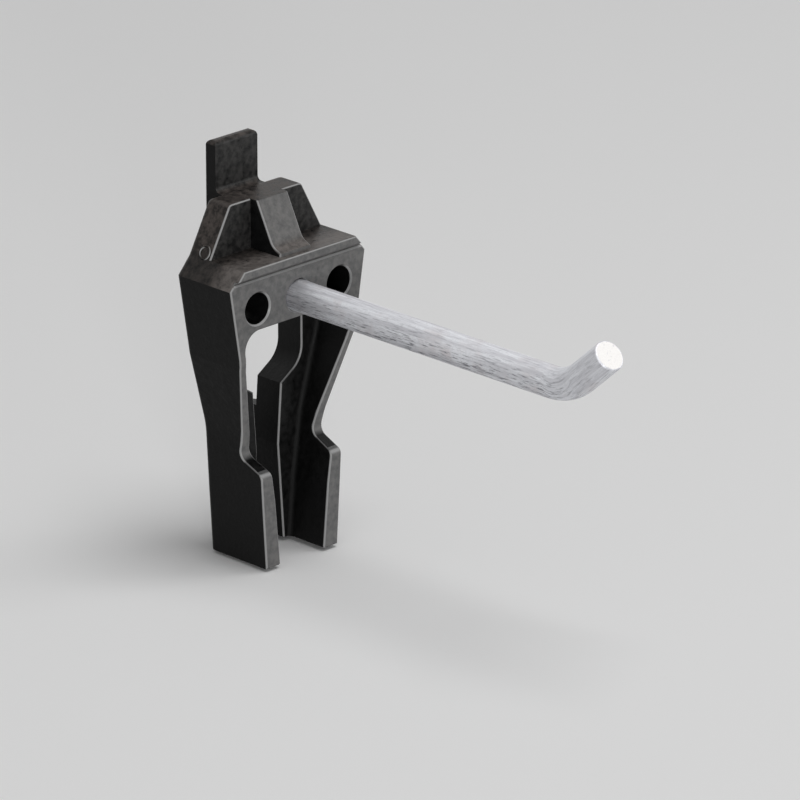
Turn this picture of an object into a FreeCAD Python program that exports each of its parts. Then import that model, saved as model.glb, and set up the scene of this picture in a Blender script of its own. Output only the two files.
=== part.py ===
"""A pegboard hook: a black moulded clip that snaps onto a panel with square holes, and a steel rod.

Millimetres, +Z up. The origin is the middle of the upper panel hole on the panel's front face. The panel lies
in the XZ plane, its room side is -Y, and the clip is the same on both sides of X = 0. A drop is a distance
below the origin, a depth is a distance from the panel into the room, a half is half a width.
"""
import FreeCAD, Part
import os
import re
import Sketcher

SIZES = [
    # the panel that the clip is made for
    ("panel_hole", 9.0),
    ("panel_pitch", 20.0),
    ("nose_pitches", 2),
    ("panel_thickness", 1.0),
    ("panel_clearance", 0.2),
    # back frame with its gable
    ("frame_depth", 5.0),
    ("top_drop", 0.5),
    ("top_inset", 4.1),
    ("back_round", 1.2),
    ("top_corner_round", 1.0),
    # shelf, box and front plate
    ("shelf_drop", 8.1),
    ("shelf_inset", 2.4),
    ("shelf_thickness", 2.0),
    ("shoulder_height", 2.7),
    ("shoulder_half", 13.8),
    ("front_depth", 11.8),
    ("plate_thickness", 2.0),
    ("plate_margin", 0.98),
    ("plate_corner_share", 0.52),
    ("cavity_share", 0.7),
    ("lip_height", 1.4),
    ("lip_proud", 0.55),
    ("lip_round", 0.3),
    ("groove_height", 0.5),
    ("groove_depth", 0.4),
    # gusset on the shelf
    ("gusset_half", 3.15),
    ("gusset_top_proud", 1.4),
    ("gusset_foot_inset", 2.2),
    ("gusset_foot_height", 1.2),
    ("gusset_foot_round", 2.2),
    ("gusset_end_inset", 0.6),
    ("gusset_end_height", 0.5),
    # spring legs with finger feet
    ("slant_drop", 22.3),
    ("slant_round", 6.0),
    ("waist_drop", 23.6),
    ("waist_inset", 2.1),
    ("ankle_drop", 35.6),
    ("ankle_inset", 3.1),
    ("foot_drop", 45.5),
    ("foot_inset", 0.55),
    ("bottom_drop", 55.8),
    ("bottom_inset", 0.65),
    ("shoulder_wall", 1.4),
    ("waist_wall", 1.35),
    ("ankle_wall", 1.75),
    ("foot_wall", 2.65),
    ("bottom_wall", 2.95),
    ("leg_bend_round", 14.0),
    ("flange_round", 0.8),
    ("nook_drop", 38.9),
    ("nook_depth", 7.7),
    ("nook_round", 1.6),
    ("toe_drop", 40.9),
    ("toe_proud", 0.5),
    ("toe_round", 1.0),
    # window between the back flanges of the legs
    ("window_inset", 4.6),
    ("window_turn_drop", 28.1),
    ("window_round", 4.2),
    ("window_step", 2.8),
    ("slot_top_half", 2.8),
    ("slot_waist_drop", 40.5),
    ("slot_waist_half", 2.1),
    ("flange_end_width", 1.25),
    # three sockets in the front plate
    ("socket_drop", 14.6),
    ("socket_spacing", 8.35),
    ("socket_clearance", 0.02),
    ("socket_wall", 1.4),
    ("socket_floor", 1.0),
    ("socket_rim", 0.25),
    ("boss_end_depth", 1.0),
    ("web_half", 1.5),
    # upper lug and lower snap noses
    ("neck_step", 0.3),
    ("tongue_height", 7.0),
    ("tongue_thickness", 2.0),
    ("tongue_round", 0.8),
    ("nose_inset", 0.6),
    ("nose_taper", 0.6),
    ("nose_reach", 3.6),
    ("barb", 0.6),
    # rod
    ("rod_diameter", 4.8),
    ("rod_bend_depth", 66.7),
    ("rod_bend_round", 9.0),
    ("rod_bend_angle", 42.0),
    ("rod_tip_length", 10.3),
    ("rod_end_round", 0.3),
    # small rounding of the moulded edges
    ("edge_round", 0.35),
    # how far a cut runs past, or an added block runs into, what it meets
    ("overrun", 1.0),
]
NEAR = 1e-4
# How many points of an edge are tested when edges are chosen.
EDGE_POINTS = 5
# A face shows to the front where its outward normal has less than this along Y.
FACES_FRONT = -0.3


def bound(text):
    """An expression in which each bare word is a cell of the sheet of sizes."""
    return re.sub(r"[a-z][a-z_]*(?![a-z_(])", r"sizes.\g<0>", text)


def value(text):
    """The number that an expression in the sheet's cells stands for."""
    return float(sheet.evalExpression(bound(text)))


def add_sheet():
    """The sheet of driving dimensions, one cell for each size."""
    made = doc.addObject("Spreadsheet::Sheet", "sizes")
    for row, (alias, size) in enumerate(SIZES, start=1):
        made.set(f"A{row}", alias)
        made.set(f"B{row}", str(size))
        made.setAlias(f"B{row}", alias)
    doc.recompute()
    return made


def add_sketch(body, name, plane, offset="0"):
    """An empty sketch on one of the body's own origin planes, moved along the plane's normal by offset."""
    sketch = body.newObject("Sketcher::SketchObject", name)
    planes = [feature for feature in body.Origin.OriginFeatures if feature.Role == plane]
    sketch.AttachmentSupport = [(planes[0], "")]
    sketch.MapMode = "FlatFace"
    sketch.setExpression("AttachmentOffset.Base.z", bound(offset))
    return sketch


def pin_point(sketch, geometry, end, point):
    """Tie one end of a sketch line to a pair of expressions."""
    for kind, text in zip(("DistanceX", "DistanceY"), point):
        index = sketch.addConstraint(Sketcher.Constraint(kind, -1, 1, geometry, end, value(text)))
        sketch.setExpression(f"Constraints[{index}]", bound(text))


def add_outline(sketch, points):
    """A closed run of straight edges through points, each a pair of expressions."""
    first = sketch.GeometryCount
    places = [FreeCAD.Vector(value(across), value(up), 0) for across, up in points]
    for start, end in zip(places, places[1:] + places[:1]):
        sketch.addGeometry(Part.LineSegment(start, end), False)
    for index, point in enumerate(points):
        following = first + (index + 1) % len(points)
        sketch.addConstraint(Sketcher.Constraint("Coincident", first + index, 2, following, 1))
        pin_point(sketch, first + index, 1, point)


def add_circle(sketch, centre, radius):
    """A circle with its centre and radius tied to expressions."""
    place = FreeCAD.Vector(value(centre[0]), value(centre[1]), 0)
    geometry = sketch.addGeometry(Part.Circle(place, FreeCAD.Vector(0, 0, 1), value(radius)), False)
    pin_point(sketch, geometry, 3, centre)
    index = sketch.addConstraint(Sketcher.Constraint("Radius", geometry, value(radius)))
    sketch.setExpression(f"Constraints[{index}]", bound(radius))


def both_sides(points):
    """A full outline from the points of its right half, listed from the top down."""
    left = [(f"-({across})", up) for across, up in reversed(points)]
    return points + left


def add_feature(body, kind, name, sketch, length, side="One side", reverse=False):
    """A pad or a pocket of a sketch, which has to change the body's volume."""
    before = 0 if body.Shape.isNull() else body.Shape.Volume
    feature = body.newObject(f"PartDesign::{kind}", name)
    feature.Profile = sketch
    feature.SideType = side
    feature.Reversed = reverse
    feature.setExpression("Length", bound(length))
    doc.recompute()
    gained = body.Shape.Volume - before
    if gained * (1 if kind == "Pad" else -1) < NEAR:
        raise RuntimeError(f"{name} changes nothing")
    return feature


def edge_names(shape, keep):
    """The names of a shape's edges, every point of which passes a test."""
    chosen = []
    for number, edge in enumerate(shape.Edges, start=1):
        if edge.Length > NEAR and all(keep(point) for point in edge.discretize(EDGE_POINTS)):
            chosen.append(f"Edge{number}")
    return chosen


def rim_names(shape, keep):
    """The names of the edges round those faces of a shape whose outward normal and middle pass a test."""
    rims = []
    for face in shape.Faces:
        middle = face.CenterOfMass
        if keep(face.normalAt(*face.Surface.parameter(middle)), middle):
            rims.extend(face.Edges)
    chosen = []
    for number, edge in enumerate(shape.Edges, start=1):
        if sum(edge.isSame(rim) for rim in rims) == 1:
            chosen.append(f"Edge{number}")
    return chosen


def round_edges(body, name, radius, keep, kind="Fillet", find=edge_names):
    """Round, or chamfer, the edges of the body so far that pass a test."""
    base = body.Tip
    chosen = find(base.Shape, keep)
    if not chosen:
        raise RuntimeError(f"{name} finds no edges")
    feature = body.newObject(f"PartDesign::{kind}", name)
    feature.Base = (base, chosen)
    feature.setExpression("Radius" if kind == "Fillet" else "Size", bound(radius))
    doc.recompute()
    if "Invalid" in feature.State:
        raise RuntimeError(f"{name}: {feature.getStatusString()}")
    return feature


doc = FreeCAD.newDocument("pegboard_hook")
sheet = add_sheet()

# Half widths, drops and depths that follow from the sizes.
SHELF_HALF = "(shoulder_half - shelf_inset)"
TOP_HALF = f"({SHELF_HALF} - top_inset)"
WAIST_HALF = "(shoulder_half - waist_inset)"
ANKLE_HALF = f"({WAIST_HALF} - ankle_inset)"
FOOT_HALF = f"({ANKLE_HALF} - foot_inset)"
BOTTOM_HALF = f"({FOOT_HALF} - bottom_inset)"
WINDOW_HALF = f"({WAIST_HALF} - window_inset)"
SLOT_BOTTOM_HALF = f"({BOTTOM_HALF} - bottom_wall - flange_end_width)"
SHOULDER_DROP = "(shelf_drop + shoulder_height)"
SHELF_UNDERSIDE = "(shelf_drop + shelf_thickness)"
PLATE_BACK = "(front_depth - plate_thickness)"
TOE_DEPTH = "(front_depth + toe_proud)"
# The sockets, the lower edge of the front plate below them, and the boss round each socket.
SOCKET_RADIUS = "(rod_diameter / 2 + socket_clearance)"
BOSS_RADIUS = f"({SOCKET_RADIUS} + socket_wall)"
PLATE_DROP = f"(socket_drop + {SOCKET_RADIUS} + plate_margin)"
ROD_START = "(boss_end_depth + socket_floor)"
# The foot of the gusset and its end.
GUSSET_TOP_DEPTH = "(frame_depth + gusset_top_proud)"
GUSSET_FOOT_DEPTH = "(front_depth - gusset_foot_inset)"
GUSSET_FOOT_DROP = "(shelf_drop - gusset_foot_height)"
GUSSET_END_DEPTH = "(front_depth - gusset_end_inset)"
# Half the width of what passes through a panel hole, and the depth behind the panel where it widens.
NECK_HALF = "(panel_hole / 2 - panel_clearance)"
BEHIND_PANEL = "(panel_thickness + panel_clearance)"
# How far the bend of the rod reaches to each side of the corner that its two straight runs would make.
BEND_RUN = "rod_bend_round * tan(rod_bend_angle / 2)"

# The outer outline of the legs, and the inner one, from the top down, right half.
LEG_OUTER = [
    ("shoulder_half", f"-{SHOULDER_DROP}"),
    (WAIST_HALF, "-waist_drop"),
    (ANKLE_HALF, "-ankle_drop"),
    (FOOT_HALF, "-foot_drop"),
    (BOTTOM_HALF, "-bottom_drop"),
]
LEG_INNER = [
    (f"{WAIST_HALF} - waist_wall", "-waist_drop"),
    (f"{ANKLE_HALF} - ankle_wall", "-ankle_drop"),
    (f"{FOOT_HALF} - foot_wall", "-foot_drop"),
    (f"{BOTTOM_HALF} - bottom_wall", "-bottom_drop"),
    (f"{BOTTOM_HALF} - bottom_wall", "-bottom_drop - overrun"),
]
# How far out the inner wall leans for each unit of height between the waist and the shoulder.
INNER_SLOPE = f"(waist_inset - shoulder_wall + waist_wall) / (waist_drop - {SHOULDER_DROP})"


def inner_half(drop):
    """Half the inner width at a height above the waist."""
    return f"{WAIST_HALF} - waist_wall + (waist_drop - {drop}) * {INNER_SLOPE}"


def at(point, axis, text):
    """Whether a point lies at a height, a depth or a width that an expression gives."""
    return abs(getattr(point, axis) - value(text)) < NEAR


def at_leg_bend(point):
    """Whether a point lies at one of the heights where the outlines of the legs bend."""
    return any(at(point, "z", drop) for drop in ("-waist_drop", "-ankle_drop", "-foot_drop"))


def front_of_legs(normal, middle):
    """Whether a face is one of those that the front plate and the legs show to the front."""
    before_plate_back = middle.y < value(f"-{PLATE_BACK}") - NEAR
    on_leg = middle.z < value("-waist_drop") and middle.y < value("-frame_depth") - NEAR
    return normal.y < FACES_FRONT and (before_plate_back or on_leg)


def make_clip():
    """The moulded clip: pads and cuts first, then the lugs that the roundings leave out."""
    body = doc.addObject("PartDesign::Body", "moulded_clip")

    frame = add_sketch(body, "frame_outline", "XZ_Plane")
    add_outline(frame, both_sides(
        [(TOP_HALF, "-top_drop"), (SHELF_HALF, "-shelf_drop")] + LEG_OUTER))
    add_feature(body, "Pad", "frame_block", frame, "frame_depth")

    box = add_sketch(body, "box_outline", "XZ_Plane")
    add_outline(box, both_sides([(SHELF_HALF, "-shelf_drop")] + LEG_OUTER))
    add_feature(body, "Pad", "box_block", box, TOE_DEPTH)

    round_edges(body, "top_corners", "top_corner_round", lambda p: at(p, "z", "-top_drop")
                and (at(p, "x", TOP_HALF) or at(p, "x", f"-{TOP_HALF}")))
    round_edges(body, "outer_bends", "leg_bend_round", at_leg_bend)
    round_edges(body, "back_edges", "back_round", lambda p: at(p, "y", "0")
                and p.z > value("-bottom_drop") + NEAR)

    side = add_sketch(body, "side_profile", "YZ_Plane")
    add_outline(side, [
        ("-front_depth", "-shelf_drop + overrun"),
        ("-front_depth", "-slant_drop"),
        ("-nook_depth", "-nook_drop"),
        (f"-{TOE_DEPTH}", "-toe_drop"),
        (f"-{TOE_DEPTH} - overrun", "-toe_drop"),
        (f"-{TOE_DEPTH} - overrun", "-shelf_drop + overrun"),
    ])
    add_feature(body, "Pocket", "side_cut", side, "2 * (shoulder_half + overrun)", "Symmetric")
    round_edges(body, "slant", "slant_round", lambda p: at(p, "y", "-front_depth")
                and at(p, "z", "-slant_drop"))
    round_edges(body, "nook", "nook_round", lambda p: at(p, "y", "-nook_depth") and at(p, "z", "-nook_drop"))
    round_edges(body, "toes", "toe_round", lambda p: at(p, "y", f"-{TOE_DEPTH}") and at(p, "z", "-toe_drop"))

    opening = add_sketch(body, "opening_outline", "XZ_Plane", "frame_depth")
    add_outline(opening, both_sides([(inner_half(PLATE_DROP), f"-{PLATE_DROP}")] + LEG_INNER))
    add_feature(body, "Pocket", "opening_cut", opening, f"{TOE_DEPTH} - frame_depth + overrun", reverse=True)
    round_edges(body, "plate_corners", f"plate_corner_share * (waist_drop - {PLATE_DROP})",
                lambda p: at(p, "z", f"-{PLATE_DROP}")
                and abs(abs(p.x) - value(inner_half(PLATE_DROP))) < NEAR)
    round_edges(body, "inner_bends", "leg_bend_round", lambda p: at_leg_bend(p)
                and p.y < value("-frame_depth") + NEAR
                and abs(p.x) < value(f"{WAIST_HALF} - waist_wall") + NEAR)

    cavity = add_sketch(body, "cavity_outline", "XZ_Plane", "frame_depth")
    cavity_drop = f"({PLATE_DROP} + cavity_share * (waist_drop - {PLATE_DROP}))"
    add_outline(cavity, both_sides([
        (inner_half(SHELF_UNDERSIDE), f"-{SHELF_UNDERSIDE}"),
        (inner_half(cavity_drop), f"-{cavity_drop}"),
    ]))
    add_feature(body, "Pocket", "cavity_cut", cavity, f"{PLATE_BACK} - frame_depth", reverse=True)

    round_edges(body, "flange_feet", "flange_round", lambda p: at(p, "y", "-frame_depth")
                and value("-bottom_drop") - NEAR < p.z < value("-waist_drop") + NEAR
                and abs(p.x) > value(f"{BOTTOM_HALF} - bottom_wall") - NEAR)
    round_edges(body, "front_edges", "edge_round", front_of_legs, find=rim_names)
    round_edges(body, "hood_edges", "edge_round", lambda p: at(p, "y", "-frame_depth")
                and p.z > value("-shelf_drop") + NEAR)

    window = add_sketch(body, "window_outline", "XZ_Plane")
    add_outline(window, both_sides([
        (WINDOW_HALF, f"-{SHELF_UNDERSIDE}"),
        (WINDOW_HALF, "-window_turn_drop"),
        ("slot_top_half", "-window_turn_drop - window_step"),
        ("slot_waist_half", "-slot_waist_drop"),
        (SLOT_BOTTOM_HALF, "-bottom_drop"),
        (SLOT_BOTTOM_HALF, "-bottom_drop - overrun"),
    ]))
    add_feature(body, "Pocket", "window_cut", window, "frame_depth", reverse=True)
    round_edges(body, "window_turns", "window_round", lambda p: at(p, "z", "-window_turn_drop"))
    round_edges(body, "window_edges", "edge_round", lambda p: at(p, "y", "-frame_depth")
                and abs(p.x) < value(WINDOW_HALF) + NEAR and p.z < value(f"-{SHELF_UNDERSIDE}") + NEAR
                and (abs(abs(p.x) - value(SLOT_BOTTOM_HALF)) < NEAR or not at(p, "z", "-bottom_drop")))

    bosses = add_sketch(body, "boss_outline", "XZ_Plane", "boss_end_depth")
    add_circle(bosses, ("0", "-socket_drop"), BOSS_RADIUS)
    add_feature(body, "Pad", "middle_boss", bosses, f"{PLATE_BACK} - boss_end_depth")
    web = add_sketch(body, "web_outline", "XZ_Plane", "boss_end_depth")
    add_outline(web, both_sides([
        ("web_half", f"-{SHELF_UNDERSIDE}"),
        ("web_half", "-socket_drop"),
    ]))
    add_feature(body, "Pad", "boss_web", web, f"{PLATE_BACK} - boss_end_depth")
    side_bosses = add_sketch(body, "side_boss_outline", "XZ_Plane", "frame_depth")
    for side_of_middle in ("-socket_spacing", "socket_spacing"):
        add_circle(side_bosses, (side_of_middle, "-socket_drop"), BOSS_RADIUS)
    add_feature(body, "Pad", "side_bosses", side_bosses, f"{PLATE_BACK} - frame_depth")

    gusset = add_sketch(body, "gusset_profile", "YZ_Plane")
    add_outline(gusset, [
        ("-frame_depth + overrun", "-top_drop"),
        (f"-{GUSSET_TOP_DEPTH}", "-top_drop"),
        (f"-{GUSSET_FOOT_DEPTH}", f"-{GUSSET_FOOT_DROP}"),
        (f"-{GUSSET_END_DEPTH}", "-shelf_drop + gusset_end_height"),
        (f"-{GUSSET_END_DEPTH}", "-shelf_drop - overrun"),
        ("-frame_depth + overrun", "-shelf_drop - overrun"),
    ])
    add_feature(body, "Pad", "gusset", gusset, "2 * gusset_half", "Symmetric")
    round_edges(body, "gusset_foot", "gusset_foot_round", lambda p: at(p, "z", f"-{GUSSET_FOOT_DROP}"))
    round_edges(body, "gusset_edges", "edge_round", lambda p: abs(abs(p.x) - value("gusset_half")) < NEAR
                and p.y < value(f"-{GUSSET_TOP_DEPTH}") + NEAR and p.z > value("-shelf_drop") - NEAR)

    groove = add_sketch(body, "groove_outline", "XZ_Plane", "front_depth")
    add_outline(groove, both_sides([
        ("shoulder_half", "-shelf_drop - lip_height"),
        ("shoulder_half", "-shelf_drop - lip_height - groove_height"),
    ]))
    add_feature(body, "Pocket", "lip_groove", groove, "groove_depth")
    lip = add_sketch(body, "lip_outline", "XZ_Plane", "front_depth - overrun")
    add_outline(lip, both_sides([
        (SHELF_HALF, "-shelf_drop"),
        (f"{SHELF_HALF} + lip_height * shelf_inset / shoulder_height", "-shelf_drop - lip_height"),
    ]))
    add_feature(body, "Pad", "lip", lip, "lip_proud + overrun")
    round_edges(body, "lip_edges", "lip_round", lambda p: at(p, "y", "-front_depth - lip_proud"))

    lug = add_sketch(body, "lug_profile", "YZ_Plane")
    add_outline(lug, [
        ("-back_round", "-top_drop - neck_step"),
        (BEHIND_PANEL, "-top_drop - neck_step"),
        (BEHIND_PANEL, "tongue_height"),
        (f"{BEHIND_PANEL} + tongue_thickness", "tongue_height"),
        (f"{BEHIND_PANEL} + tongue_thickness", f"-{NECK_HALF}"),
        ("-back_round", f"-{NECK_HALF}"),
    ])
    add_feature(body, "Pad", "lug", lug, f"2 * {NECK_HALF}", "Symmetric")
    round_edges(body, "tongue_edges", "tongue_round", lambda p: at(p, "z", "tongue_height")
                or (at(p, "y", BEHIND_PANEL) and at(p, "z", "-top_drop - neck_step"))
                or (at(p, "y", f"{BEHIND_PANEL} + tongue_thickness") and at(p, "z", f"-{NECK_HALF}")))

    noses = add_sketch(body, "nose_outline", "XY_Plane", "-nose_pitches * panel_pitch")
    right = [
        ("slot_waist_half + nose_inset", "-overrun"),
        ("slot_waist_half + nose_inset", "nose_reach"),
        (f"{NECK_HALF} - nose_taper", "nose_reach"),
        (f"{NECK_HALF} + barb", BEHIND_PANEL),
        (NECK_HALF, BEHIND_PANEL),
        (NECK_HALF, "-overrun"),
    ]
    add_outline(noses, right)
    add_outline(noses, [(f"-({across})", deep) for across, deep in right])
    add_feature(body, "Pad", "noses", noses, f"2 * {NECK_HALF}", "Symmetric")

    middle = add_sketch(body, "middle_socket_outline", "XZ_Plane", "front_depth")
    add_circle(middle, ("0", "-socket_drop"), SOCKET_RADIUS)
    add_feature(body, "Pocket", "middle_socket", middle, f"front_depth - {ROD_START}")
    sides = add_sketch(body, "side_socket_outline", "XZ_Plane", "front_depth")
    for side_of_middle in ("-socket_spacing", "socket_spacing"):
        add_circle(sides, (side_of_middle, "-socket_drop"), SOCKET_RADIUS)
    add_feature(body, "Pocket", "side_sockets", sides, "front_depth - frame_depth")
    round_edges(body, "socket_rims", "socket_rim", lambda p: at(p, "y", "-front_depth")
                and abs(p.z + value("socket_drop")) < value("rod_diameter"), kind="Chamfer")
    return body


def make_rod():
    """The steel rod, from the floor of the middle socket to its upturned tip."""
    body = doc.addObject("PartDesign::Body", "hook_rod")

    section = add_sketch(body, "rod_section", "XZ_Plane", ROD_START)
    add_circle(section, ("0", "-socket_drop"), "rod_diameter / 2")

    path = add_sketch(body, "rod_path", "YZ_Plane")
    ends = [
        (f"-{ROD_START}", "-socket_drop"),
        (f"-rod_bend_depth + {BEND_RUN}", "-socket_drop"),
        (f"-rod_bend_depth - {BEND_RUN} * cos(rod_bend_angle)",
         f"-socket_drop + {BEND_RUN} * sin(rod_bend_angle)"),
        ("-rod_bend_depth - rod_tip_length * cos(rod_bend_angle)",
         "-socket_drop + rod_tip_length * sin(rod_bend_angle)"),
    ]
    places = [FreeCAD.Vector(value(along), value(up), 0) for along, up in ends]
    centre = places[1] + FreeCAD.Vector(0, value("rod_bend_round"), 0)
    circle = Part.Circle(centre, FreeCAD.Vector(0, 0, 1), value("rod_bend_round"))
    straight = path.addGeometry(Part.LineSegment(places[0], places[1]), False)
    bend = path.addGeometry(
        Part.ArcOfCircle(circle, circle.parameter(places[2]), circle.parameter(places[1])), False)
    tip = path.addGeometry(Part.LineSegment(places[2], places[3]), False)
    for geometry, end, point in zip((straight, straight, tip, tip), (1, 2, 1, 2), ends):
        pin_point(path, geometry, end, point)
    path.addConstraint(Sketcher.Constraint("Coincident", straight, 2, bend, 2))
    path.addConstraint(Sketcher.Constraint("Coincident", tip, 1, bend, 1))
    index = path.addConstraint(Sketcher.Constraint("Radius", bend, value("rod_bend_round")))
    path.setExpression(f"Constraints[{index}]", bound("rod_bend_round"))
    doc.recompute()

    pipe = body.newObject("PartDesign::AdditivePipe", "rod_sweep")
    pipe.Profile = section
    pipe.Spine = (path, ["Edge1", "Edge2", "Edge3"])
    doc.recompute()

    tip_end = FreeCAD.Vector(0, places[3].x, places[3].y)
    tip_way = FreeCAD.Vector(0, places[3].x - places[2].x, places[3].y - places[2].y).normalize()
    round_edges(body, "rod_ends", "rod_end_round", lambda p: at(p, "y", ends[0][0])
                or abs((p - tip_end).dot(tip_way)) < NEAR)
    return body


bodies = [make_clip(), make_rod()]
doc.recompute()
for made in doc.Objects:
    if "Invalid" in made.State or "Error" in made.State:
        raise RuntimeError(f"{made.Label}: {made.State}")
for body in bodies:
    if body.Shape.isNull() or not body.Shape.isValid():
        raise RuntimeError(f"{body.Label} has no valid shape")
os.makedirs("parts", exist_ok=True)
for body in bodies:
    body.Shape.exportStep(f"parts/{body.Label}.step")
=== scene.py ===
"""A pegboard hook, dressed: a black textured moulding and a bright drawn steel rod, on a pale floor.

Metres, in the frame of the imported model: +Z up, the back of the clip in the XZ plane, the rod towards -Y.
"""
import math
import bpy
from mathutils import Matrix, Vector


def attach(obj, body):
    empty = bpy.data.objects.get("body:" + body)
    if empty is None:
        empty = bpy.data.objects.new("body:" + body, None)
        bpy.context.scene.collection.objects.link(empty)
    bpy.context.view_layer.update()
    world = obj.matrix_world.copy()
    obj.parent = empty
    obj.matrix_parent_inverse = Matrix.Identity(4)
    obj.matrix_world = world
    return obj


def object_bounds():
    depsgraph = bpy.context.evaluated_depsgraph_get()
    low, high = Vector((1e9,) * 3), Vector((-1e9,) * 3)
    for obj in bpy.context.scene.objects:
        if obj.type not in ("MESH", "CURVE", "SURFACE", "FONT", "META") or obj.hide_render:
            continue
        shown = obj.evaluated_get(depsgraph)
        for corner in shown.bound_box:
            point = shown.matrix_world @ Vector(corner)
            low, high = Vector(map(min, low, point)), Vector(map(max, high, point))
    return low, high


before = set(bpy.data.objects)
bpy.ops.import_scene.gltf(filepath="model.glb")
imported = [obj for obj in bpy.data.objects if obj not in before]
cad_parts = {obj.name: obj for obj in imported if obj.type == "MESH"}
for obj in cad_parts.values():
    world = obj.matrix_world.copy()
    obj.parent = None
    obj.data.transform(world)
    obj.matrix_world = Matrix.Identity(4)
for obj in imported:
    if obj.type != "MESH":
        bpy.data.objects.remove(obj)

CAD_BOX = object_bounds()
MM = 0.001

# The camera: where it looks, from which side and how steeply, how far away it stands, and its lens.
CAMERA_AIM = Vector((-2.25, -35.0, -24.26)) * MM
CAMERA_YAW = math.radians(45.1)
CAMERA_PITCH = math.radians(20.6)
CAMERA_DISTANCE = 1.0
CAMERA_LENS = 310.7
CAMERA_SENSOR = 36.0

# How broken every noise of the two materials is.
NOISE_ROUGHNESS = 0.6

# The colours of the plastic, with light and shade painted in: its sides, near black as painted shade; its
# tops, a brownish grain lightened with painted light; the front of its shelf, lighter as a painted sheen; the
# faces of its hood, darker as painted shade in their recesses; the faces further to the front, grey as a
# painted sheen; and its edges, light as painted highlights. A dark and a light one make patches.
SIDE_SHADE_BLACK = (0.0015, 0.0015, 0.0015, 1.0)
SIDE_SHADE_GREY = (0.004, 0.004, 0.004, 1.0)
DARK_BROWN = (0.014, 0.012, 0.011, 1.0)
LIGHT_BROWN = (0.062, 0.053, 0.048, 1.0)
SHELF_SHEEN_GREY = (0.150, 0.136, 0.128, 1.0)
DARK_RECESS_SHADE = (0.012, 0.012, 0.012, 1.0)
LIGHT_RECESS_SHADE = (0.036, 0.035, 0.034, 1.0)
DARK_SHEEN_GREY = (0.104, 0.104, 0.104, 1.0)
LIGHT_SHEEN_GREY = (0.146, 0.144, 0.142, 1.0)
EDGE_HIGHLIGHT_GREY = (0.300, 0.300, 0.300, 1.0)

# Where the plastic changes: before the flanges, before the front plate, above the shoulders, along the crest
# of the hood, and in the hollow corners between the flanges and the legs.
FLANGE_FRONT = -6.0 * MM
PLATE_FRONT = -11.2 * MM
SHOULDER_FOOT = -11.0 * MM
CREST_FOOT = -1.2 * MM
HOOD_MIDDLE = -2.8 * MM
HOOD_HALF = 2.6 * MM
HOLLOW_MIDDLE = -5.42 * MM
HOLLOW_HALF = 0.40 * MM

# The shelf: the depths over which its painted sheen fades to nothing, how strong the painted sheen is, and its
# share on the dark patches; then the depths and levels over which the shelf's inner corner darkens as painted
# shade, and how much.
SHELF_SHEEN_DEPTHS = (-10.2 * MM, -6.8 * MM)
SHELF_SHEEN_STRENGTH = 0.8
DARK_PATCH_SHEEN = 0.5
NOOK_DEPTH = (-8.5 * MM, -6.0 * MM)
NOOK_LEVEL = (-8.0 * MM, -7.0 * MM)
NOOK_SHADE = 0.55

# Masks by the way a face of the plastic looks: sideways, up, forwards or backwards, or two ways at once as an
# edge does. Each is the part of its normal where the mask starts and where it is full or gone.
SIDEWAYS = (0.75, 0.95)
UPWARD = (0.15, 0.40)
FORWARD = (0.55, 0.95)
BACKWARD = (-0.9, -0.2)
UPRIGHT_EDGE = (0.20, 0.50)
LEVEL_EDGE = (0.30, 0.60)

# The grain and the smudges of the plastic: how fine and how detailed they are, where the noise of the smudges
# turns from dark to light patches, and how deep they are.
GRAIN_SCALE = 2600.0
GRAIN_DETAIL = 3.0
SMUDGE_SCALE = 1000.0
SMUDGE_DETAIL = 4.0
PATCH = (0.38, 0.62)
GRAIN_DEPTH = 0.05 * MM
SMUDGE_HEIGHT = 2.0
SIDE_GRAIN = 0.6
FRONT_GRAIN = 0.25

# The gloss of the plastic: its roughness on faces and on sides, how much the smudges add or take and over
# which range of their noise, how much smoother the edges are, and how strongly it mirrors.
FACE_ROUGHNESS = 0.36
SIDE_ROUGHNESS = 0.60
SMUDGE_ROUGHNESS = 0.10
SMUDGE_RANGE = (0.3, 0.7)
EDGE_POLISH = 0.10
PLASTIC_SPECULAR = 0.14

# The ring on the hood's left slope: its middle, the way the slope faces, its size and how finely it is drawn.
MARK_PLACE = Vector((-10.97, -3.45, -7.3)) * MM
MARK_NORMAL = Vector((-7.6, 0.0, 4.1))
MARK_RADIUS = 0.98 * MM
MARK_WIRE = 0.20 * MM
MARK_STEPS = 40
MARK_SIDES = 10

# The rod: the corner of its bend, how steeply its tip rises, how far to each side of the corner the scratches
# turn with it, and how squarely its end face looks along the tip.
ROD_CORNER = Vector((0.0, -66.7, -14.6)) * MM
ROD_TIP_ANGLE = math.radians(42.0)
ROD_BEND_HALF = 3.0 * MM
END_FACING = 0.98

# The colours of the zinc and of the sheared end.
ZINC_PALE = (0.76, 0.77, 0.80, 1.0)
ZINC_GREY = (0.55, 0.55, 0.58, 1.0)
ZINC_WARM = (0.60, 0.56, 0.57, 1.0)
ZINC_DARK = (0.20, 0.20, 0.22, 1.0)
END_PALE = (0.78, 0.77, 0.76, 1.0)

# The marks on the zinc: how fine and how detailed each noise is, the range of it that shows, and how strongly.
# Scratches and streaks are drawn out along the rod.
SCRATCH_SCALE = (4600.0, 420.0, 4600.0)
SCRATCH_DETAIL = 3.0
SCRATCH_RANGE = (0.37, 0.47)
STREAK_SCALE = (1300.0, 60.0, 1300.0)
STREAK_DETAIL = 2.0
STREAK_RANGE = (0.35, 0.60)
SPECKLE_SCALE = 2400.0
SPECKLE_DETAIL = 4.0
SPECKLE_RANGE = (0.30, 0.5)
SPECKLE_SHARE = 0.5
END_SPECKLE_RANGE = (0.28, 0.4)
TINT_SCALE = 260.0
TINT_DETAIL = 2.0
TINT_RANGE = (0.5, 0.7)
TINT_SHARE = 0.6

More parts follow.
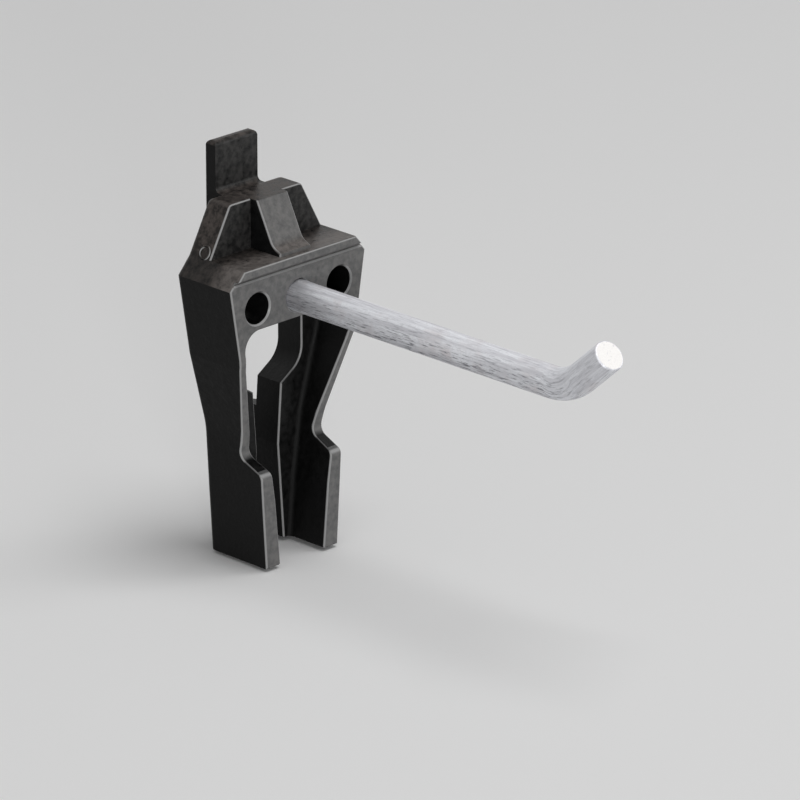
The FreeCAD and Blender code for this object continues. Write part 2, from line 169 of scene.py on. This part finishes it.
# The scratches fade towards the top of the rod and on its tip, to these shares.
TOPWARD = (-0.2, 0.8)
TOP_SCRATCHES = 0.25
TIP_SCRATCHES = 0.35

# The roughness of the zinc in the scratches and beside them, over a range of the scratches' noise, how much
# rougher the end is, and how deep the marks are.
SCRATCH_ROUGHNESS = 0.64
ZINC_ROUGHNESS = 0.52
ROUGHNESS_RANGE = (0.3, 0.6)
END_ROUGHNESS = 0.25
SCRATCH_DEPTH = 0.04 * MM
SCRATCH_STRENGTH = 0.35
SPECKLE_HEIGHT = 0.6

# The floor: how far under the feet it lies, half its width, its roughness, and its faint clouds, as places on
# their noise with the grey there.
FLOOR_GAP = 0.5 * MM
FLOOR_HALF = 6.0
FLOOR_ROUGHNESS = 0.9
CLOUD_SCALE = 2.0
CLOUD_DETAIL = 2.0
CLOUD_STOPS = ((0.3, 0.88), (0.7, 0.90))

# The lights: name, place, width and power.
LIGHTS = (
    ("key", (2.00, -1.24, 0.50), 1.00, 11.5),
    ("top", (0.10, -0.25, 1.00), 0.60, 5.0),
    ("front", (-1.24, -1.56, 0.18), 0.40, 13.5),
)

# How strongly the white surround lights the scene, and how bright it is where it is seen or mirrored.
WHITE = (1.0, 1.0, 1.0, 1.0)
SURROUND_LIGHT = 0.24
SURROUND_SEEN = 0.80


def new_material(name):
    """A node material, with its tree and its principled shader."""
    material = bpy.data.materials.new(name)
    material.use_nodes = True
    tree = material.node_tree
    return material, tree, tree.nodes["Principled BSDF"]


def add(tree, kind, settings=None, **inputs):
    """A node with its settings, and with inputs that are numbers, colours or the sockets of other nodes.

    An input goes by its own name, or by its number after an underscore.
    """
    node = tree.nodes.new(f"ShaderNode{kind}")
    for key, setting in (settings or {}).items():
        setattr(node, key, setting)
    for key, given in inputs.items():
        numbered = key[0] == "_" and key[1:].isdigit()
        socket = node.inputs[int(key[1:])] if numbered else node.inputs[key]
        if isinstance(given, bpy.types.NodeSocket):
            tree.links.new(given, socket)
        else:
            socket.default_value = given
    return node


def math_node(tree, operation, *values):
    """The result of a math node on numbers or sockets."""
    numbered = {f"_{index}": given for index, given in enumerate(values)}
    return add(tree, "Math", {"operation": operation}, **numbered).outputs[0]


def opposite(tree, mask):
    """One minus a mask."""
    return math_node(tree, "SUBTRACT", 1.0, mask)


def dot(tree, first, second):
    """The dot product of two vectors."""
    return add(tree, "VectorMath", {"operation": "DOT_PRODUCT"}, _0=first, _1=second).outputs["Value"]


def between(tree, value, low, high, start=0.0, end=1.0):
    """A value carried from the range of start and end to that of low and high, and held at the ends."""
    ends = {"From Min": start, "From Max": end, "To Min": low, "To Max": high}
    return add(tree, "MapRange", Value=value, **ends).outputs["Result"]


def rise(tree, value, start, end):
    """A mask that goes from 0 to 1 as a value goes from start to end."""
    return between(tree, value, 0.0, 1.0, start, end)


def fall(tree, value, start, end):
    """A mask that goes from 1 to 0 as a value goes from start to end."""
    return between(tree, value, 1.0, 0.0, start, end)


def blend(tree, factor, first, second):
    """A colour that goes from the first to the second as the factor goes from 0 to 1."""
    return add(tree, "Mix", {"data_type": "RGBA"}, Factor=factor, _6=first, _7=second).outputs[2]


def grey_ramp(tree, factor, stops):
    """A ramp of greys, with stops given as position and grey."""
    node = add(tree, "ValToRGB", Fac=factor)
    for element, (position, shade) in zip(node.color_ramp.elements, stops):
        element.position = position
        element.color = (shade, shade, shade, 1.0)
    return node.outputs["Color"]


def noise(tree, place, scale, detail):
    """Even noise of a scale and a depth of detail."""
    settings = {"Scale": scale, "Detail": detail, "Roughness": NOISE_ROUGHNESS}
    return add(tree, "TexNoise", Vector=place, **settings).outputs["Fac"]


def drawn_noise(tree, place, scale, detail):
    """Noise with a scale of its own along each axis."""
    drawn = add(tree, "Mapping", Vector=place, Scale=scale).outputs["Vector"]
    return noise(tree, drawn, 1.0, detail)


def black_plastic():
    """Black moulded plastic, smoother to the front, with light and shade painted in: near black painted shade
    on its sides and in its recesses, a brownish grain on top lightened with painted light, a grey painted
    sheen on its front faces, and painted highlights on its edges.
    """
    material, tree, shader = new_material("black_plastic")
    place = add(tree, "TexCoord").outputs["Object"]
    spot = add(tree, "SeparateXYZ", Vector=place)
    depth = spot.outputs["Y"]
    level = spot.outputs["Z"]
    normal = add(tree, "SeparateXYZ", Vector=add(tree, "NewGeometry").outputs["Normal"])
    across = math_node(tree, "ABSOLUTE", normal.outputs["X"])
    facing = math_node(tree, "MULTIPLY", normal.outputs["Y"], -1.0)
    rising = normal.outputs["Z"]

    before_flange = math_node(tree, "LESS_THAN", depth, FLANGE_FRONT)
    before_plate = math_node(tree, "LESS_THAN", depth, PLATE_FRONT)
    above_crest_foot = math_node(tree, "GREATER_THAN", level, CREST_FOOT)
    in_hood = math_node(tree, "COMPARE", depth, HOOD_MIDDLE, HOOD_HALF)
    on_crest = math_node(tree, "MULTIPLY", above_crest_foot, in_hood)
    on_top = math_node(tree, "GREATER_THAN", level, SHOULDER_FOOT)
    hollow = math_node(tree, "COMPARE", depth, HOLLOW_MIDDLE, HOLLOW_HALF)
    corner = math_node(tree, "MULTIPLY", hollow, opposite(tree, on_top))

    side = math_node(tree, "MAXIMUM", rise(tree, across, *SIDEWAYS), corner)
    upward = math_node(tree, "MULTIPLY", rise(tree, rising, *UPWARD), on_top)
    front = rise(tree, facing, *FORWARD)
    rear = fall(tree, facing, *BACKWARD)
    turn = rise(tree, math_node(tree, "MINIMUM", across, facing), *UPRIGHT_EDGE)
    ridge = rise(tree, math_node(tree, "MINIMUM", rising, facing), *LEVEL_EDGE)
    upright_edge = math_node(tree, "MULTIPLY", turn, opposite(tree, hollow))
    level_edge = math_node(tree, "MULTIPLY", ridge, math_node(tree, "MAXIMUM", before_plate, on_crest))
    edge = math_node(tree, "MAXIMUM", upright_edge, level_edge)

    grain = noise(tree, place, GRAIN_SCALE, GRAIN_DETAIL)
    smudge = noise(tree, place, SMUDGE_SCALE, SMUDGE_DETAIL)
    patch = rise(tree, smudge, *PATCH)
    # Painted sheen: the front of the shelf is lightened, less on the dark patches.
    shelf_sheen = math_node(tree, "MULTIPLY", between(tree, depth, SHELF_SHEEN_STRENGTH, 0.0, *SHELF_SHEEN_DEPTHS),
                     between(tree, smudge, DARK_PATCH_SHEEN, 1.0, *PATCH))
    # Painted shade: the shelf's inner corner darkens towards the painted shade of the sides.
    nook_painted_shade = math_node(tree, "MULTIPLY", between(tree, depth, 0.0, NOOK_SHADE, *NOOK_DEPTH),
                     fall(tree, level, *NOOK_LEVEL))

    # The tops get a brownish mottle: partly the grain of the plastic, partly lighter as painted light from
    # above.
    mottled = blend(tree, patch, DARK_BROWN, LIGHT_BROWN)
    top_with_sheen_and_shade = blend(tree, nook_painted_shade, blend(tree, shelf_sheen, mottled, SHELF_SHEEN_GREY), SIDE_SHADE_GREY)
    # Painted shade: faces in the recesses behind the flanges, such as the front of the hood, are darker.
    recess_painted_shade = blend(tree, patch, DARK_RECESS_SHADE, LIGHT_RECESS_SHADE)
    # Painted shade: faces turned sideways are near black, and faces turned back take the painted shade of the
    # recesses.
    sides_in_painted_shade = blend(tree, rear, blend(tree, patch, SIDE_SHADE_BLACK, SIDE_SHADE_GREY), recess_painted_shade)
    # Painted sheen: faces turned forwards are grey, standing in for the sheen of the black plastic.
    grey = blend(tree, patch, DARK_SHEEN_GREY, LIGHT_SHEEN_GREY)
    # Painted shade: the fronts of the flanges below the shoulders, shaded by the legs, are darker still.
    flange_painted_shade = blend(tree, patch, SIDE_SHADE_GREY, DARK_RECESS_SHADE)
    # Faces turned forwards: painted shade behind the flanges, painted sheen in front of them.
    shown = blend(tree, before_flange, blend(tree, on_top, flange_painted_shade, recess_painted_shade), grey)
    colour = blend(tree, front, blend(tree, upward, sides_in_painted_shade, top_with_sheen_and_shade), shown)
    # Painted highlight: rounded edges turned to the front are light grey.
    tree.links.new(blend(tree, edge, colour, EDGE_HIGHLIGHT_GREY), shader.inputs["Base Color"])

    plain = math_node(tree, "ADD", between(tree, side, FACE_ROUGHNESS, SIDE_ROUGHNESS),
                      between(tree, smudge, -SMUDGE_ROUGHNESS, SMUDGE_ROUGHNESS, *SMUDGE_RANGE))
    rough = math_node(tree, "SUBTRACT", plain, math_node(tree, "MULTIPLY", edge, EDGE_POLISH))
    tree.links.new(rough, shader.inputs["Roughness"])
    shader.inputs["Specular IOR Level"].default_value = PLASTIC_SPECULAR
    height = math_node(tree, "ADD", grain, math_node(tree, "MULTIPLY", smudge, SMUDGE_HEIGHT))
    strength = between(tree, front, SIDE_GRAIN, FRONT_GRAIN)
    bump = add(tree, "Bump", Height=height, Strength=strength, Distance=GRAIN_DEPTH)
    tree.links.new(bump.outputs["Normal"], shader.inputs["Normal"])
    return material


def rod_way(angle):
    """The way that the rod points where it has risen by an angle."""
    return Vector((0.0, -math.cos(angle), math.sin(angle)))


def along_rod(tree, place):
    """Places measured along the rod, turned with its tip, and a mask of the tip."""
    offset = add(tree, "VectorMath", {"operation": "SUBTRACT"}, _0=place, _1=ROD_CORNER)
    from_corner = offset.outputs["Vector"]
    rotation = add(tree, "VectorRotate", {"rotation_type": "X_AXIS"}, Vector=from_corner, Angle=ROD_TIP_ANGLE)
    turned = rotation.outputs["Vector"]
    past = dot(tree, from_corner, rod_way(ROD_TIP_ANGLE / 2))
    on_tip = rise(tree, past, -ROD_BEND_HALF, ROD_BEND_HALF)
    along = add(tree, "Mix", {"data_type": "VECTOR"}, Factor=on_tip, _4=from_corner, _5=turned).outputs[1]
    return along, on_tip


def zinc_steel():
    """Bright zinc on drawn steel: short dark scratches along the rod, and a paler sheared end."""
    material, tree, shader = new_material("zinc_steel")
    place = add(tree, "TexCoord").outputs["Object"]
    along, on_tip = along_rod(tree, place)
    normal = add(tree, "NewGeometry").outputs["Normal"]
    rising = add(tree, "SeparateXYZ", Vector=normal).outputs["Z"]
    facing = dot(tree, normal, rod_way(ROD_TIP_ANGLE))
    end_face = math_node(tree, "GREATER_THAN", facing, END_FACING)

    scratch = drawn_noise(tree, along, SCRATCH_SCALE, SCRATCH_DETAIL)
    streak = drawn_noise(tree, along, STREAK_SCALE, STREAK_DETAIL)
    speckle = noise(tree, place, SPECKLE_SCALE, SPECKLE_DETAIL)
    tint = between(tree, noise(tree, place, TINT_SCALE, TINT_DETAIL), 0.0, TINT_SHARE, *TINT_RANGE)

    pale = blend(tree, tint, ZINC_PALE, ZINC_WARM)
    zinc = blend(tree, rise(tree, streak, *STREAK_RANGE), ZINC_GREY, pale)
    fleck = math_node(tree, "MULTIPLY", fall(tree, scratch, *SCRATCH_RANGE),
                      between(tree, rising, 1.0, TOP_SCRATCHES, *TOPWARD))
    faded = math_node(tree, "MULTIPLY", fleck, between(tree, on_tip, 1.0, TIP_SCRATCHES))
    scratched = blend(tree, faded, zinc, ZINC_DARK)
    mottled = blend(tree, between(tree, speckle, SPECKLE_SHARE, 0.0, *SPECKLE_RANGE), scratched, ZINC_GREY)
    cut = blend(tree, fall(tree, speckle, *END_SPECKLE_RANGE), END_PALE, ZINC_GREY)
    tree.links.new(blend(tree, end_face, mottled, cut), shader.inputs["Base Color"])

    plain = between(tree, scratch, SCRATCH_ROUGHNESS, ZINC_ROUGHNESS, *ROUGHNESS_RANGE)
    rough = math_node(tree, "ADD", plain, math_node(tree, "MULTIPLY", end_face, END_ROUGHNESS))
    tree.links.new(rough, shader.inputs["Roughness"])
    shader.inputs["Metallic"].default_value = 1.0
    height = math_node(tree, "ADD", scratch, math_node(tree, "MULTIPLY", speckle, SPECKLE_HEIGHT))
    bump = add(tree, "Bump", Height=height, Strength=SCRATCH_STRENGTH, Distance=SCRATCH_DEPTH)
    tree.links.new(bump.outputs["Normal"], shader.inputs["Normal"])
    return material


def add_mesh(name, corners, faces, material):
    """A mesh object in the scene, with its material."""
    mesh = bpy.data.meshes.new(name)
    mesh.from_pydata(corners, [], faces)
    mesh.materials.append(material)
    made = bpy.data.objects.new(name, mesh)
    bpy.context.scene.collection.objects.link(made)
    return made


def ejector_mark(material):
    """The small raised ring that an ejector left on the sloping side of the hood, half sunk in it."""
    tilt = MARK_NORMAL.to_track_quat("Z", "Y")
    corners = []
    faces = []
    for step in range(MARK_STEPS):
        turn = 2 * math.pi * step / MARK_STEPS
        out = Vector((math.cos(turn), math.sin(turn), 0.0))
        here = step * MARK_SIDES
        there = (step + 1) % MARK_STEPS * MARK_SIDES
        for level in range(MARK_SIDES):
            swing = 2 * math.pi * level / MARK_SIDES
            point = out * (MARK_RADIUS + MARK_WIRE * math.cos(swing))
            point.z = MARK_WIRE * math.sin(swing)
            corners.append(MARK_PLACE + tilt @ point)
            above = (level + 1) % MARK_SIDES
            faces.append((here + level, there + level, there + above, here + above))
    ring = add_mesh("ejector_mark", corners, faces, material)
    ring.data.shade_smooth()
    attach(ring, "root")


def dress():
    """Give each node of the frame its material, and add the ring on the clip."""
    materials = {"moulded_clip": black_plastic(), "hook_rod": zinc_steel()}
    for name, material in materials.items():
        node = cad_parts[name]
        node.data.materials.clear()
        node.data.materials.append(material)
    ejector_mark(materials["moulded_clip"])


def pale_floor():
    """A wide plain floor just under the feet."""
    material, tree, shader = new_material("pale_floor")
    place = add(tree, "TexCoord").outputs["Object"]
    cloud = add(tree, "TexNoise", Vector=place, Scale=CLOUD_SCALE, Detail=CLOUD_DETAIL).outputs["Fac"]
    tree.links.new(grey_ramp(tree, cloud, CLOUD_STOPS), shader.inputs["Base Color"])
    shader.inputs["Roughness"].default_value = FLOOR_ROUGHNESS
    low = CAD_BOX[0][2] - FLOOR_GAP
    turns = ((-1, -1), (1, -1), (1, 1), (-1, 1))
    corners = [(x * FLOOR_HALF, y * FLOOR_HALF, low) for x, y in turns]
    floor = add_mesh("floor", corners, [(0, 1, 2, 3)], material)


def area_light(name, place, size, power):
    """A square soft light that shines on the middle of the part."""
    light = bpy.data.lights.new(name, "AREA")
    light.size = size
    light.energy = power
    lamp = bpy.data.objects.new(name, light)
    lamp.location = place
    lamp.rotation_euler = (CAMERA_AIM - Vector(place)).to_track_quat("-Z", "Y").to_euler()
    bpy.context.scene.collection.objects.link(lamp)


def studio():
    """A wide key from the right, a light from above, one from the left, and an even pale surround."""
    for light in LIGHTS:
        area_light(*light)
    world = bpy.data.worlds.new("surround")
    world.use_nodes = True
    tree = world.node_tree
    ray = add(tree, "LightPath")
    seen = math_node(tree, "MAXIMUM", ray.outputs["Is Camera Ray"], ray.outputs["Is Glossy Ray"])
    seen = math_node(tree, "MAXIMUM", seen, ray.outputs["Is Transmission Ray"])
    background = tree.nodes["Background"]
    background.inputs["Color"].default_value = WHITE
    tree.links.new(between(tree, seen, SURROUND_LIGHT, SURROUND_SEEN), background.inputs["Strength"])
    bpy.context.scene.world = world
    bpy.context.scene.view_settings.view_transform = "Standard"


def photo_camera():
    """The camera at the side and height that the photograph was taken from."""
    way = Vector((math.sin(CAMERA_YAW) * math.cos(CAMERA_PITCH),
                  math.cos(CAMERA_YAW) * math.cos(CAMERA_PITCH),
                  -math.sin(CAMERA_PITCH)))
    data = bpy.data.cameras.new("camera")
    data.lens = CAMERA_LENS
    data.sensor_width = CAMERA_SENSOR
    camera = bpy.data.objects.new("camera", data)
    camera.location = CAMERA_AIM - way * CAMERA_DISTANCE
    camera.rotation_euler = way.to_track_quat("-Z", "Y").to_euler()
    bpy.context.scene.collection.objects.link(camera)
    bpy.context.scene.camera = camera


dress()
pale_floor()
studio()
photo_camera()
